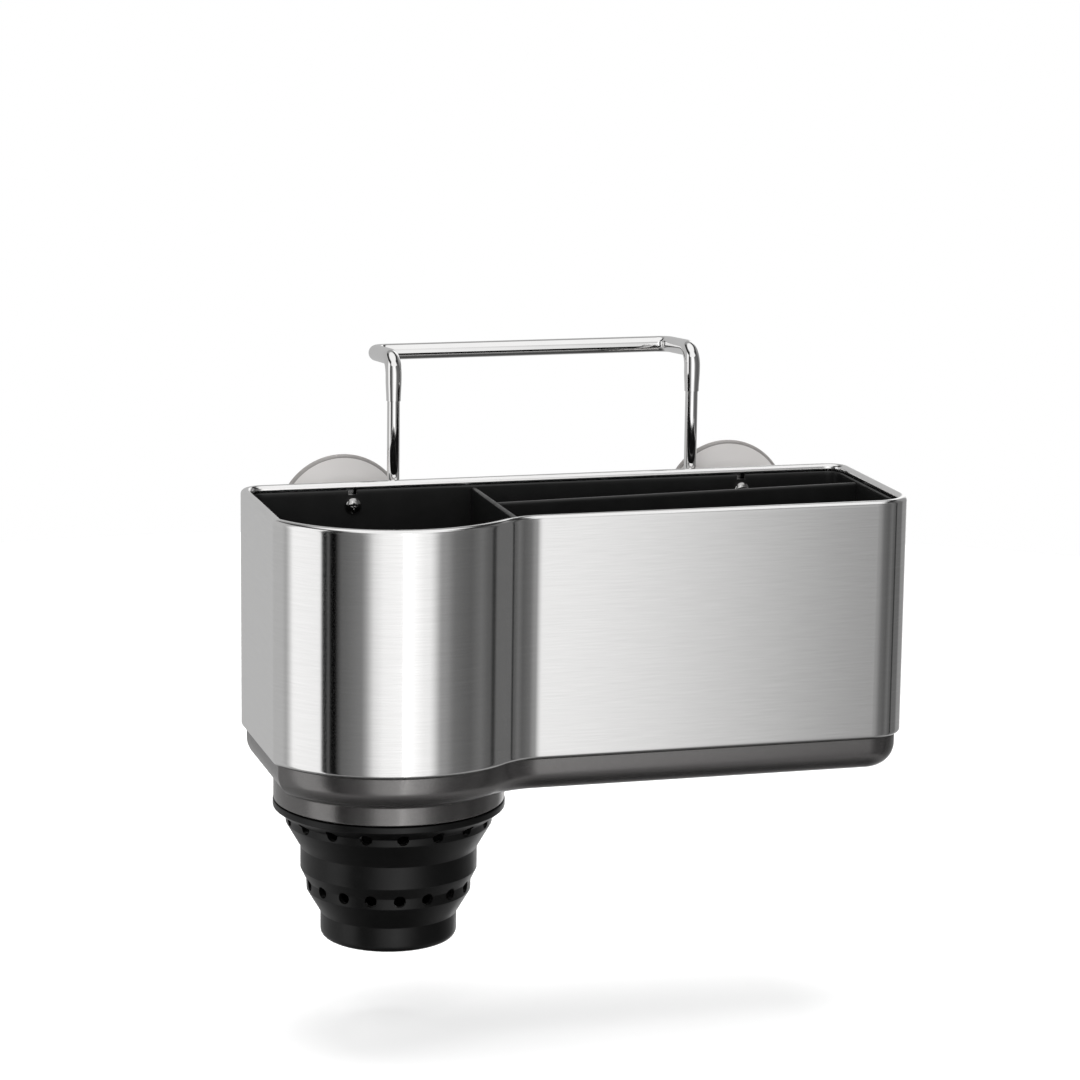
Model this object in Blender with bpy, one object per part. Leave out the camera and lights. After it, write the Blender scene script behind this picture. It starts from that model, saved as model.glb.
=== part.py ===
import math

import bmesh
import bpy
from mathutils import Matrix, Quaternion, Vector

for item in list(bpy.data.objects):
    bpy.data.objects.remove(item, do_unlink=True)

# Sizes are in millimetres. X runs right, Y back and Z up.
# Zero is the middle of the width, the back wall's outer face and the top of the rim.
MM = 0.001
GAP = 0.3

# Outline of the body, seen from above
WIDTH = 211.0
FLAT_DEPTH = 70.7
FRONT_RADIUS = 46.3
BACK_CORNER = 8.0
RIGHT_CORNER = 13.5
LEFT_CORNER = 4.5
WAIST_RADIUS = 20.0
SMALLEST_CORNER = 0.6

# Steel shell
SHELL_HEIGHT = 79.2
SHEET = 0.8
BEAD_RADIUS = 1.6
HEM = 0.4
FOOT_RADIUS = 1.2
FOOT_REACH = 3.4

# Base tray and the collar that is part of it
BASE_INSET = 1.7
BASE_WALL = 2.0
BASE_DEPTH = 11.5
BASE_ROUNDING = 8.0
COLLAR_RADIUS = 37.5
COLLAR_DROP = 5.9
COLLAR_EDGE = 0.4
COLLAR_SET_IN = 0.1
CUP_FROM_LEFT = 42.2

# Liner
LINER_TOP = -2.4
LINER_WALL = 1.7
LINER_TOP_OFFSET = 2.2
LINER_DROP = BASE_ROUNDING - BASE_WALL - GAP
DIVIDER_X = -26.3
DIVIDER_WALL = 1.8
DIVIDER_TOP = -3.0
PARTITION_LEFT_Y = -32.5
PARTITION_RIGHT_Y = -22.9
FLOOR_HOLE_RADIUS = 32.5
BOSS_RADIUS = 3.4
BOSS_HEIGHT = 5.5
BOSS_CAP = 1.2
NOTCH_WIDTH = 3.0
NOTCH_DEPTH = 1.6
DRAIN_RADIUS = 2.5
DRAIN_PITCH = 16.0
DRAIN_COUNT = 6

# Screws
SCREW_RADIUS = 1.5
SCREW_HEAD_RADIUS = 2.7
BRACKET_SCREW_HEAD = 1.9
SCREW_SOCKET_RADIUS = 1.0
SCREW_CLEARANCE = 0.3
PILOT_CLEARANCE = 0.15
SEAT_GAP = 0.1
BASE_SCREW_LENGTH = 6.8
BASE_SCREW_HEAD = 1.2
BASE_RECESS = 1.3
BRACKET_SCREW_LENGTH = 9.3

# Suction cups and the brackets that hold them
SUCTION_FROM_END = 38.1
SUCTION_Z = -15.1
SUCTION_RADIUS = 21.8
SUCTION_LIP = 2.3
SUCTION_PLANE = 13.0
SUCTION_EDGE = 0.6
SUCTION_HUB_RADIUS = 8.2
STUD_NECK_RADIUS = 3.0
STUD_HEAD_RADIUS = 4.8
STUD_HEAD_HEIGHT = 2.0
STUD_CLEARANCE = 0.2
BRACKET_SCREW_OFFSET = 7.6
BRACKET_MARGIN = 8.0
BRACKET_BACK = 6.2
GUIDE_BACK = 9.0
GUIDE_HALF_WIDTH = 4.8
BRACKET_TOP = -3.8
BRACKET_BOTTOM = -27.0

# Hanger
ROD_FROM_END = 53.74
ROD_Y = 4.2
ROD_RADIUS = 2.12
ROD_FIT = 0.1
TUBE_RADIUS = 2.7
TUBE_END_RADIUS = 2.42
TUBE_END_LENGTH = 1.6
SLEEVE_Z = 25.5
SOCKET_DEPTH = 8.0
SOCKET_FIT = 0.1
ARM_TOP_Z = 39.9
ARM_LENGTH = 28.2
ARM_FALL = 2.35
LEG_BEND = 5.5
REAR_BEND = 4.2
BUSH_RADIUS = 3.2
BUSH_FLANGE_RADIUS = 3.7
BUSH_FLANGE_HEIGHT = 0.8
RAISE_TRAVEL = 31.0
STOP_RADIUS = 3.4
STOP_HEIGHT = 3.5
ROD_TAIL = 2.5

# Folding cup, from the collar's lower edge down
CUP_WALL = 1.8
CUFF_INNER_RADIUS = 31.9
LIP_RADIUS = 37.7
LIP_HEIGHT = 2.0
BEAD_STAND = 0.5
BEAD_DEPTH = 3.4
BAND_RADIUS = 33.6
UPPER_CHAMFER = 3.1
UPPER_BAND = 2.4
RING_RADIUS = 28.75
UPPER_CONE = 8.2
RING_HEIGHT = 7.3
RING_BAND_RADIUS = 26.8
LOWER_CHAMFER = 3.8
LOWER_BAND = 3.5
BASE_RADIUS = 22.2
LOWER_CONE = 7.6
CUP_BASE_HEIGHT = 8.4
CUP_BASE_ROUNDING = 2.4
WEB_WALL = 0.9
CUP_SEGMENTS = 40
FOLD_SEGMENTS = 32
CUP_HOLES = 18
CUP_HOLE_RADIUS = 1.95
CUP_HOLE_TURN = -5.8
CUP_FLOOR_HOLES = 6
CUP_FLOOR_HOLE_CIRCLE = 12.0

# Facets round a full circle
FINE = 28
COARSE = 12
HOLE_FACETS = 8

HALF = WIDTH / 2
SUCTION_X = HALF - SUCTION_FROM_END
ROD_X = HALF - ROD_FROM_END
FOOT_Z = -SHELL_HEIGHT
TRAY_TOP = FOOT_Z - GAP
ROUNDING_Z = TRAY_TOP - BASE_DEPTH + BASE_ROUNDING
TRAY_BOTTOM = ROUNDING_Z - BASE_ROUNDING
TRAY_FLOOR = TRAY_BOTTOM + BASE_WALL
FLOOR_OFFSET = BASE_INSET + BASE_ROUNDING
COLLAR_BOTTOM = TRAY_BOTTOM - COLLAR_DROP
BORE_RADIUS = COLLAR_RADIUS - BASE_WALL
CUP_X = CUP_FROM_LEFT - HALF
CUP_Y = -(BASE_INSET + COLLAR_SET_IN + COLLAR_RADIUS)
LINER_FOOT_OFFSET = FLOOR_OFFSET - LINER_DROP
LINER_BOTTOM = ROUNDING_Z - LINER_DROP
LINER_FLOOR = LINER_BOTTOM + LINER_WALL
STOP_TOP = BRACKET_BOTTOM - RAISE_TRAVEL
ROD_BOTTOM = STOP_TOP - STOP_HEIGHT - ROD_TAIL

LIP_TOP = COLLAR_BOTTOM - GAP
LIP_BOTTOM = LIP_TOP - LIP_HEIGHT
BAND_TOP = LIP_BOTTOM - UPPER_CHAMFER
BAND_BOTTOM = BAND_TOP - UPPER_BAND
RING_TOP = BAND_BOTTOM - UPPER_CONE
RING_EDGE = RING_TOP - RING_HEIGHT
LOWER_BAND_TOP = RING_EDGE - LOWER_CHAMFER
RING_BOTTOM = LOWER_BAND_TOP - LOWER_BAND
CUP_BASE_TOP = RING_BOTTOM - LOWER_CONE
CUP_BOTTOM = CUP_BASE_TOP - CUP_BASE_HEIGHT


def arc(cx, cy, radius, start, end, steps):
    points = []
    for i in range(steps + 1):
        turn = math.radians(start + (end - start) * i / steps)
        points.append((cx + radius * math.cos(turn), cy + radius * math.sin(turn)))
    return points


def outline(inset):
    # Every line moves inward by the inset. The waist arc keeps its centre and grows.
    left = inset - HALF
    right = HALF - inset
    front = inset - FLAT_DEPTH
    nose = FRONT_RADIUS - inset
    back_r = max(BACK_CORNER - inset, SMALLEST_CORNER)
    right_r = max(RIGHT_CORNER - inset, SMALLEST_CORNER)
    left_r = max(LEFT_CORNER - inset, SMALLEST_CORNER)
    corner_x = left + left_r
    corner_y = CUP_Y - math.sqrt((nose - left_r) ** 2 - (corner_x - CUP_X) ** 2)
    corner_turn = math.degrees(math.atan2(corner_y - CUP_Y, corner_x - CUP_X)) + 360
    waist_r = WAIST_RADIUS + inset
    waist_y = front - waist_r
    waist_x = CUP_X + math.sqrt((nose + waist_r) ** 2 - (waist_y - CUP_Y) ** 2)
    waist_turn = math.degrees(math.atan2(waist_y - CUP_Y, waist_x - CUP_X)) + 360
    points = arc(right - back_r, -inset - back_r, back_r, 0, 90, 4)
    points += arc(left + back_r, -inset - back_r, back_r, 90, 180, 4)
    points += arc(corner_x, corner_y, left_r, 180, corner_turn, 3)
    points += arc(CUP_X, CUP_Y, nose, corner_turn, waist_turn, 16)[1:]
    points += arc(waist_x, waist_y, waist_r, waist_turn - 180, 90, 5)[1:]
    points += arc(right - right_r, front + right_r, right_r, 270, 360, 6)
    return points


def loft(loops, ring=False):
    mesh = bmesh.new()
    rows = [[mesh.verts.new(point) for point in loop] for loop in loops]
    count = len(rows[0])
    spans = len(rows) if ring else len(rows) - 1
    for i in range(spans):
        near = rows[i]
        far = rows[(i + 1) % len(rows)]
        for j in range(count):
            k = (j + 1) % count
            mesh.faces.new((near[j], near[k], far[k], far[j]))
    if not ring:
        mesh.faces.new(rows[0][::-1])
        mesh.faces.new(rows[-1])
    bmesh.ops.recalc_face_normals(mesh, faces=mesh.faces)
    return mesh


def walls(profile, ring=False):
    # Carries a profile of (inset, height) pairs round the body's outline
    return loft([[(x, y, z) for x, y in outline(inset)] for inset, z in profile], ring)


def turned(profile, segments, ring=False):
    loops = []
    for radius, z in profile:
        loops.append([(x, y, z) for x, y in arc(0, 0, radius, 0, 360, segments)[:-1]])
    return loft(loops, ring)


def rod(radius, low, high, segments=COARSE):
    return turned([(radius, low), (radius, high)], segments)


def prism(corners, low, high):
    return loft([[(x, y, low) for x, y in corners], [(x, y, high) for x, y in corners]])


def block(low, high):
    corners = [(low[0], low[1]), (high[0], low[1]), (high[0], high[1]), (low[0], high[1])]
    return prism(corners, low[2], high[2])


def moved(mesh, x=0.0, y=0.0, z=0.0, turn=None):
    shift = Matrix.Translation((x, y, z))
    bmesh.ops.transform(mesh, matrix=shift @ turn if turn else shift, verts=mesh.verts)
    return mesh


def together(meshes):
    whole = bmesh.new()
    for mesh in meshes:
        data = bpy.data.meshes.new("piece")
        mesh.to_mesh(data)
        mesh.free()
        whole.from_mesh(data)
        bpy.data.meshes.remove(data)
    return whole


def paint(name, color, roughness, metallic=0.0, alpha=1.0):
    material = bpy.data.materials.new(name)
    material.use_nodes = True
    shader = material.node_tree.nodes["Principled BSDF"]
    shader.inputs["Base Color"].default_value = (*color, 1.0)
    shader.inputs["Roughness"].default_value = roughness
    shader.inputs["Metallic"].default_value = metallic
    shader.inputs["Alpha"].default_value = alpha
    return material


def brushed_steel(name):
    return paint(name + "_steel", (0.62, 0.61, 0.6), 0.3, 1.0)


def polished_steel(name):
    return paint(name + "_polish", (0.8, 0.8, 0.8), 0.12, 1.0)


def black_plastic(name):
    return paint(name + "_plastic", (0.018, 0.018, 0.018), 0.4)


def grey_plastic(name):
    return paint(name + "_plastic", (0.065, 0.062, 0.06), 0.45)


def black_silicone(name):
    return paint(name + "_silicone", (0.012, 0.012, 0.012), 0.6)


def clear_rubber(name):
    return paint(name + "_rubber", (0.55, 0.56, 0.56), 0.3, 0.0, 0.6)


def anchor(name, parent=None, x=0.0, y=0.0, z=0.0):
    empty = bpy.data.objects.new(name, None)
    bpy.context.scene.collection.objects.link(empty)
    empty.location = Vector((x, y, z)) * MM
    empty.parent = parent
    return empty


def solid(name, mesh, look, parent, x=0.0, y=0.0, z=0.0):
    bmesh.ops.scale(mesh, vec=(MM, MM, MM), verts=mesh.verts)
    data = bpy.data.meshes.new(name)
    mesh.to_mesh(data)
    mesh.free()
    data.shade_smooth()
    data.set_sharp_from_angle(angle=math.radians(32))
    item = bpy.data.objects.new(name, data)
    bpy.context.scene.collection.objects.link(item)
    item.location = Vector((x, y, z)) * MM
    item.parent = parent
    if look:
        data.materials.append(look(name))
    return item


def combine(item, mesh, operation="DIFFERENCE"):
    tool = solid(item.name + "_tool", mesh, None, item)
    tool.hide_render = True
    tool.display_type = "WIRE"
    change = item.modifiers.new(operation.lower(), "BOOLEAN")
    change.operation = operation
    change.solver = "EXACT"
    change.object = tool
    return tool


# Turns a piece made along Z so that its top faces forward or its underside faces forward
TOP_FORWARD = Matrix.Rotation(math.radians(90), 4, "X")
TOP_BACK = Matrix.Rotation(math.radians(-90), 4, "X")


def bracket_screw_spots():
    spots = []
    for side in (-1, 1):
        for step in (1, -1):
            spots.append((side * SUCTION_X, SUCTION_Z + step * BRACKET_SCREW_OFFSET))
    return spots


def base_screw_spots():
    left = DIVIDER_X + BOSS_RADIUS + 5.0
    right = HALF - FLOOR_OFFSET - BOSS_RADIUS - GAP
    back = -FLOOR_OFFSET - BOSS_RADIUS - GAP
    front = FLOOR_OFFSET + BOSS_RADIUS + GAP - FLAT_DEPTH
    return [(left, back), (left, front), (right, back), (right, front)]


def liner_inset(z):
    fall = (LINER_TOP - z) / (LINER_TOP - ROUNDING_Z)
    return LINER_TOP_OFFSET + (LINER_FOOT_OFFSET - LINER_TOP_OFFSET) * fall


def screw_holes(radius, near, far):
    spots = bracket_screw_spots()
    return together([moved(rod(radius, near, far), x, 0, z, TOP_FORWARD) for x, z in spots])


def floor_drains():
    drains = []
    left, back = base_screw_spots()[0]
    front = base_screw_spots()[1][1] + 6.0
    for i in range(DRAIN_COUNT):
        x = left + DRAIN_PITCH * (i + 0.5)
        for y in (back, front):
            drains.append(moved(rod(DRAIN_RADIUS, TRAY_BOTTOM - 1, LINER_FLOOR + 1, HOLE_FACETS), x, y))
    return together(drains)


def steel_shell(parent):
    bend = BEAD_RADIUS
    inner = bend - SHEET
    hem_z = -bend - HEM
    profile = [(bend + x, y - bend) for x, y in arc(0, 0, bend, 180, 0, 6)]
    profile += [(2 * bend, hem_z), (2 * bend - SHEET, hem_z)]
    profile += [(bend + x, y - bend) for x, y in arc(0, 0, inner, 0, 180, 4)]
    profile += arc(FOOT_RADIUS, FOOT_Z + FOOT_RADIUS, FOOT_RADIUS - SHEET, 180, 270, 2)
    profile += [(FOOT_REACH, FOOT_Z + SHEET), (FOOT_REACH, FOOT_Z)]
    profile += arc(FOOT_RADIUS, FOOT_Z + FOOT_RADIUS, FOOT_RADIUS, 270, 180, 3)
    shell = solid("steel_shell", walls(profile, ring=True), brushed_steel, parent)
    combine(shell, screw_holes(SCREW_RADIUS + SCREW_CLEARANCE, -1, SHEET + 1))
    return shell


def liner(parent):
    profile = [(LINER_TOP_OFFSET, LINER_TOP)]
    profile += arc(FLOOR_OFFSET, ROUNDING_Z, LINER_DROP, 180, 270, 3)
    body = solid("liner", walls(profile), black_plastic, parent)
    hollow = [(LINER_TOP_OFFSET + LINER_WALL, LINER_TOP + 1)]
    hollow += arc(FLOOR_OFFSET, ROUNDING_Z, LINER_DROP - LINER_WALL, 180, 270, 3)
    space = combine(body, walls(hollow))
    half = DIVIDER_WALL / 2
    low = LINER_FLOOR - 2
    combine(space, block((DIVIDER_X - half, -2 * WIDTH, low), (DIVIDER_X + half, WIDTH, DIVIDER_TOP)))
    slope = (PARTITION_RIGHT_Y - PARTITION_LEFT_Y) / (HALF - DIVIDER_X)
    end_y = PARTITION_RIGHT_Y + slope * half
    partition = [(DIVIDER_X, PARTITION_LEFT_Y), (HALF + half, end_y)]
    partition += [(x, y + DIVIDER_WALL) for x, y in reversed(partition)]
    combine(space, prism(partition, low, DIVIDER_TOP))
    bosses = [moved(rod(BOSS_RADIUS, LINER_FLOOR - 0.5, LINER_FLOOR + BOSS_HEIGHT), x, y)
              for x, y in base_screw_spots()]
    combine(body, together(bosses), "UNION")
    pads = screw_holes(BOSS_RADIUS, SHEET + GAP, LINER_TOP_OFFSET + 1)
    combine(body, pads, "UNION")
    combine(body, screw_holes(SCREW_RADIUS + SCREW_CLEARANCE, 0, FLOOR_OFFSET))
    pilot = SCREW_RADIUS + PILOT_CLEARANCE
    top = LINER_FLOOR + BOSS_HEIGHT - BOSS_CAP
    pilots = [moved(rod(pilot, LINER_BOTTOM - 1, top), x, y) for x, y in base_screw_spots()]
    combine(body, together(pilots))
    notch_low = LINER_TOP - NOTCH_DEPTH
    notches = []
    for side in (-1, 1):
        x = side * SUCTION_X
        low = (x - NOTCH_WIDTH / 2, -FLOOR_OFFSET, notch_low)
        notches.append(block(low, (x + NOTCH_WIDTH / 2, -SHEET - GAP, LINER_TOP + 1)))
    combine(body, together(notches))
    floor_hole = rod(FLOOR_HOLE_RADIUS, LINER_BOTTOM - 1, ROUNDING_Z, CUP_SEGMENTS)
    combine(body, moved(floor_hole, CUP_X, CUP_Y))
    combine(body, floor_drains())
    return body


def base_tray(parent):
    profile = [(BASE_INSET, TRAY_TOP)]
    profile += arc(FLOOR_OFFSET, ROUNDING_Z, BASE_ROUNDING, 180, 270, 5)
    tray = solid("base_tray", walls(profile), grey_plastic, parent)
    edge = [(COLLAR_RADIUS, ROUNDING_Z - 0.5), (COLLAR_RADIUS, COLLAR_BOTTOM + COLLAR_EDGE)]
    edge.append((COLLAR_RADIUS - COLLAR_EDGE, COLLAR_BOTTOM))
    combine(tray, moved(turned(edge, CUP_SEGMENTS), CUP_X, CUP_Y), "UNION")
    inside = [(BASE_INSET + BASE_WALL, TRAY_TOP + 1)]
    inside += arc(FLOOR_OFFSET, ROUNDING_Z, BASE_ROUNDING - BASE_WALL, 180, 270, 3)
    combine(tray, walls(inside))
    bore = [(BORE_RADIUS, ROUNDING_Z)]
    bore += [(r + GAP, z) for r, z in snap_bead()]
    bore.append((BORE_RADIUS, COLLAR_BOTTOM - 1))
    combine(tray, moved(turned(bore, CUP_SEGMENTS), CUP_X, CUP_Y))
    hole = SCREW_RADIUS + SCREW_CLEARANCE
    recess = SCREW_HEAD_RADIUS + SCREW_CLEARANCE
    seat = TRAY_BOTTOM + BASE_RECESS
    stepped = [(recess, TRAY_BOTTOM - 1), (recess, seat), (hole, seat), (hole, TRAY_FLOOR + 1)]
    holes = [moved(turned(stepped, COARSE), x, y) for x, y in base_screw_spots()]
    combine(tray, together(holes))
    combine(tray, floor_drains())
    return tray


def snap_bead():
    # Ridge on the cup's cuff. The collar has a groove for it.
    cuff = BORE_RADIUS - GAP
    middle = LIP_TOP + BEAD_DEPTH
    return [(cuff, middle + 2 * BEAD_STAND), (cuff + BEAD_STAND, middle + BEAD_STAND / 2),
            (cuff + BEAD_STAND, middle - BEAD_STAND / 2), (cuff, middle - 2 * BEAD_STAND)]


def ring_of_holes(z, near, far):
    holes = []
    for i in range(CUP_HOLES):
        turn = math.radians(CUP_HOLE_TURN + 360 * i / CUP_HOLES)
        hole = moved(rod(CUP_HOLE_RADIUS, near, far, HOLE_FACETS), 0, 0, 0, TOP_FORWARD)
        holes.append(moved(hole, 0, 0, z, Matrix.Rotation(turn, 4, "Z")))
    return together(holes)


def cup_flange(parent):
    cuff = BORE_RADIUS - GAP
    inner = BAND_RADIUS - CUP_WALL
    profile = [(CUFF_INNER_RADIUS, LINER_BOTTOM - GAP), (cuff, LINER_BOTTOM - GAP)]
    profile += snap_bead()
    profile += [(cuff, LIP_TOP), (LIP_RADIUS, LIP_TOP), (LIP_RADIUS, LIP_BOTTOM)]
    profile += [(BAND_RADIUS, BAND_TOP), (BAND_RADIUS, BAND_BOTTOM)]
    profile += [(inner, BAND_BOTTOM), (inner, BAND_TOP)]
    mesh = turned(profile, CUP_SEGMENTS, ring=True)
    flange = solid("cup_flange", mesh, black_silicone, parent, CUP_X, CUP_Y)
    combine(flange, ring_of_holes(BAND_TOP - 0.1, inner - 2, LIP_RADIUS + 2))
    return flange


def web(name, parent, top_radius, foot_radius, top, foot):
    # Thin cone that folds inside out. It stops a gap short of the rings at both ends.
    high = top - GAP
    low = foot + GAP
    profile = [(top_radius, high), (foot_radius, low), (foot_radius - WEB_WALL, low)]
    profile.append((top_radius - WEB_WALL, high))
    return solid(name, turned(profile, FOLD_SEGMENTS, ring=True), black_silicone, parent)


def cup_middle(parent):
    body = anchor("cup_middle", parent, CUP_X, CUP_Y)
    inner = RING_RADIUS - CUP_WALL
    low_inner = RING_BAND_RADIUS - CUP_WALL
    profile = [(RING_RADIUS, RING_TOP), (RING_RADIUS, RING_EDGE), (RING_BAND_RADIUS, LOWER_BAND_TOP)]
    profile += [(RING_BAND_RADIUS, RING_BOTTOM), (low_inner, RING_BOTTOM), (low_inner, LOWER_BAND_TOP)]
    profile += [(inner, RING_EDGE), (inner, RING_TOP)]
    ring = solid("cup_middle_ring", turned(profile, FOLD_SEGMENTS, ring=True), black_silicone, body)
    combine(ring, ring_of_holes(LOWER_BAND_TOP - 0.8, low_inner - 2, RING_RADIUS + 2))
    web("cup_upper_web", body, BAND_RADIUS, RING_RADIUS, BAND_BOTTOM, RING_TOP)
    return body


def cup_bottom(parent):
    body = anchor("cup_bottom", parent)
    inner = BASE_RADIUS - CUP_WALL
    floor = CUP_BOTTOM + CUP_WALL
    bend = CUP_BASE_ROUNDING
    profile = [(inner - 1, floor), (inner, floor + 1)]
    profile += [(inner, CUP_BASE_TOP), (BASE_RADIUS, CUP_BASE_TOP)]
    profile += arc(BASE_RADIUS - bend, CUP_BOTTOM + bend, bend, 0, -90, 4)
    base = solid("cup_base", turned(profile, FOLD_SEGMENTS), black_silicone, body)
    drains = [rod(CUP_HOLE_RADIUS, CUP_BOTTOM - 1, floor + 1, HOLE_FACETS)]
    for x, y in arc(0, 0, CUP_FLOOR_HOLE_CIRCLE, 0, 360, CUP_FLOOR_HOLES)[:-1]:
        drains.append(moved(rod(CUP_HOLE_RADIUS, CUP_BOTTOM - 1, floor + 1, HOLE_FACETS), x, y))
    combine(base, together(drains))
    web("cup_lower_web", body, RING_BAND_RADIUS, BASE_RADIUS, RING_BOTTOM, CUP_BASE_TOP)
    return body


def screw(length, top):
    # Head above zero, shank below
    head = SCREW_HEAD_RADIUS
    profile = [(SCREW_SOCKET_RADIUS, top / 2), (SCREW_SOCKET_RADIUS, top), (head - 0.7, top)]
    profile += [(head, top * 0.6), (head, 0), (SCREW_RADIUS, 0)]
    profile += [(SCREW_RADIUS, 1 - length), (SCREW_RADIUS / 3, -length)]
    return turned(profile, COARSE)


def bracket_screws(parent):
    names = ["bracket_screw_" + spot for spot in ("left_top", "left_low", "right_top", "right_low")]
    for name, (x, z) in zip(names, bracket_screw_spots()):
        seat = liner_inset(z) + LINER_WALL + SEAT_GAP
        mesh = moved(screw(BRACKET_SCREW_LENGTH, BRACKET_SCREW_HEAD), turn=TOP_FORWARD)
        solid(name, mesh, polished_steel, parent, x, -seat, z)


def base_screws(parent):
    names = ["base_screw_" + spot for spot in ("left_back", "left_front", "right_back", "right_front")]
    over = Matrix.Rotation(math.pi, 4, "X")
    for name, (x, y) in zip(names, base_screw_spots()):
        mesh = moved(screw(BASE_SCREW_LENGTH, BASE_SCREW_HEAD), turn=over)
        solid(name, mesh, polished_steel, parent, x, y, TRAY_BOTTOM + BASE_RECESS - SEAT_GAP)


def bracket(name, side, parent):
    mid = side * SUCTION_X
    guide = side * ROD_X
    outer = mid + side * BRACKET_MARGIN
    inner = guide + side * -GUIDE_HALF_WIDTH
    low_x = min(outer, inner)
    high_x = max(outer, inner)
    plate = block((low_x, GAP, BRACKET_BOTTOM), (high_x, BRACKET_BACK, BRACKET_TOP))
    item = solid(name, plate, black_plastic, parent)
    rib_low = (guide - GUIDE_HALF_WIDTH, GAP + 1, BRACKET_BOTTOM)
    combine(item, block(rib_low, (guide + GUIDE_HALF_WIDTH, GUIDE_BACK, BRACKET_TOP)), "UNION")
    guide_hole = rod(BUSH_RADIUS + SEAT_GAP, BRACKET_BOTTOM - 1, BRACKET_TOP + 1)
    combine(item, moved(guide_hole, guide, ROD_Y))
    neck = STUD_NECK_RADIUS + STUD_CLEARANCE
    pocket = STUD_HEAD_RADIUS + STUD_CLEARANCE * 2
    step = GAP + GAP + STUD_HEAD_HEIGHT + GAP
    stud = turned([(pocket, GAP - 1), (pocket, step), (neck, step), (neck, BRACKET_BACK + 1)], COARSE)
    combine(item, moved(stud, mid, 0, SUCTION_Z, TOP_BACK))
    pilot = SCREW_RADIUS + PILOT_CLEARANCE
    pilots = []
    for step in (-1, 1):
        z = SUCTION_Z + step * BRACKET_SCREW_OFFSET
        pilots.append(moved(rod(pilot, GAP - 1, BRACKET_BACK + 1), mid, 0, z, TOP_BACK))
    combine(item, together(pilots))
    return item


def suction_cup(name, side, parent):
    lip = SUCTION_RADIUS
    plane = SUCTION_PLANE
    edge = SUCTION_EDGE
    head_low = GAP + GAP
    head_high = head_low + STUD_HEAD_HEIGHT
    hub = BRACKET_BACK + GAP
    neck = STUD_NECK_RADIUS
    profile = [(STUD_HEAD_RADIUS, head_low), (STUD_HEAD_RADIUS, head_high)]
    profile += [(neck, head_high), (neck, hub)]
    profile += [(SUCTION_HUB_RADIUS, hub), (SUCTION_HUB_RADIUS, plane - 6 * edge)]
    profile += [(lip * 0.7, plane - 4.4 * edge), (lip - edge, plane - 2.2 * edge)]
    profile += [(lip, plane - edge), (lip, plane), (lip - SUCTION_LIP, plane)]
    profile += [(lip * 0.66, plane - 1.6 * edge), (lip * 0.4, plane - 2.8 * edge)]
    profile += [(lip * 0.14, plane - 3.3 * edge)]
    mesh = moved(turned(profile, FINE), turn=TOP_BACK)
    return solid(name, mesh, clear_rubber, parent, side * SUCTION_X, 0, SUCTION_Z)


def rod_bush(name, side, parent):
    low = BRACKET_BOTTOM + GAP
    high = BRACKET_TOP + SEAT_GAP
    top = high + BUSH_FLANGE_HEIGHT
    inner = ROD_RADIUS + ROD_FIT
    profile = [(inner, low), (BUSH_RADIUS, low), (BUSH_RADIUS, high), (BUSH_FLANGE_RADIUS, high)]
    profile += [(BUSH_FLANGE_RADIUS, top), (inner, top)]
    return solid(name, turned(profile, COARSE, ring=True), grey_plastic, parent, side * ROD_X, ROD_Y)


def rounded_path(corners, radii, steps):
    path = [corners[0]]
    for before, corner, after, radius in zip(corners, corners[1:], corners[2:], radii):
        into = (before - corner).normalized()
        out = (after - corner).normalized()
        angle = into.angle(out)
        reach = radius / math.tan(angle / 2)
        middle = corner + (into + out).normalized() * radius / math.sin(angle / 2)
        start = corner + into * reach - middle
        axis = start.cross(corner + out * reach - middle)
        for i in range(steps + 1):
            path.append(middle + Quaternion(axis, (math.pi - angle) * i / steps) @ start)
    path.append(corners[-1])
    return path


def swept(path, radii, segments):
    loops = []
    last = (path[1] - path[0]).normalized()
    side = Vector((1, 0, 0))
    for i, point in enumerate(path):
        into = (point - path[max(i - 1, 0)]).normalized()
        out = (path[min(i + 1, len(path) - 1)] - point).normalized()
        along = (into + out).normalized()
        side = last.rotation_difference(along) @ side
        last = along
        up = along.cross(side)
        loop = [tuple(point + side * x + up * y) for x, y in arc(0, 0, radii[i], 0, 360, segments)[:-1]]
        loops.append(loop)
    return loft(loops)


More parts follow.
